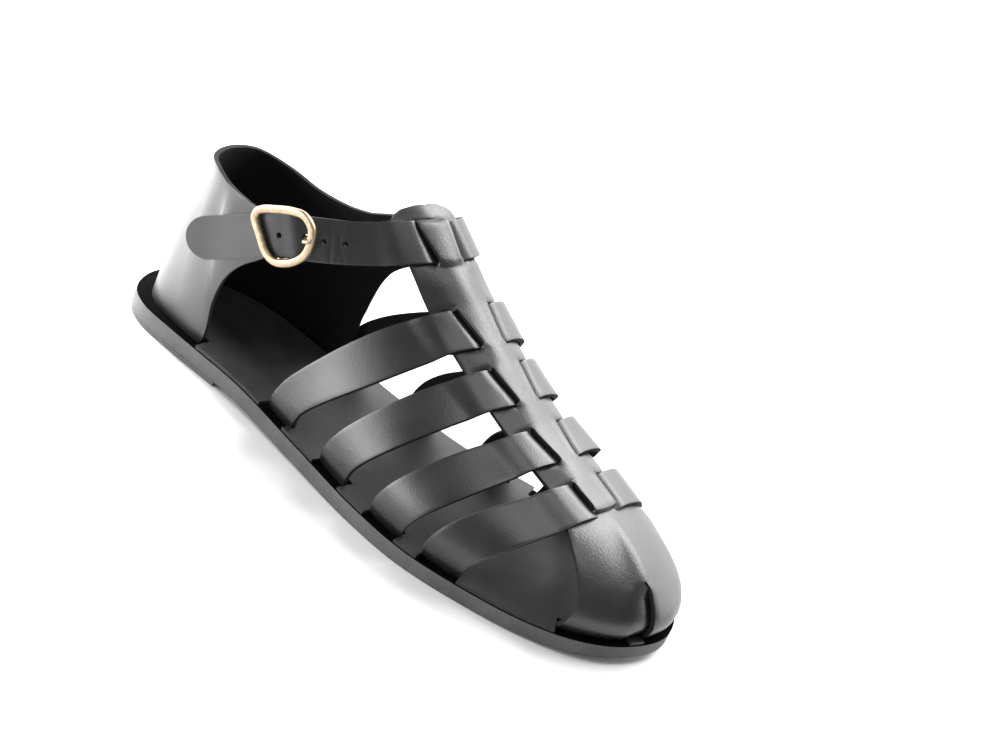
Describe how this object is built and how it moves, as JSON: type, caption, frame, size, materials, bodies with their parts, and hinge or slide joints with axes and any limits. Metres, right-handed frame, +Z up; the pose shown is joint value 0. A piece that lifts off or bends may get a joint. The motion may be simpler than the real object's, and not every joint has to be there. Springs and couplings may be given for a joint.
{
  "type": "greek sandal",
  "caption": "Flat black leather fisherman sandal for the right foot: a woven cage of straps over a closed heel, a split toe cap and a buckled ankle strap.",
  "frame": {"origin": "middle of the sandal's box, on the floor under the sole", "axes": "+X to the toe, +Y to the inner (medial) side, +Z up"},
  "size_m": [0.2796, 0.1024, 0.1078],
  "materials": {
    "sole": "matte, fine-grained",
    "insole_leather": "smooth, dull",
    "leather": "satin",
    "buckle": "pale gold, satin"
  },
  "bodies": {
    "root": {"outsole": "sole", "heel_lift": "sole", "insole": "insole_leather", "upper": "leather", "buckle_frame": "buckle", "buckle_prong": "buckle"}
  },
  "joints": []
}
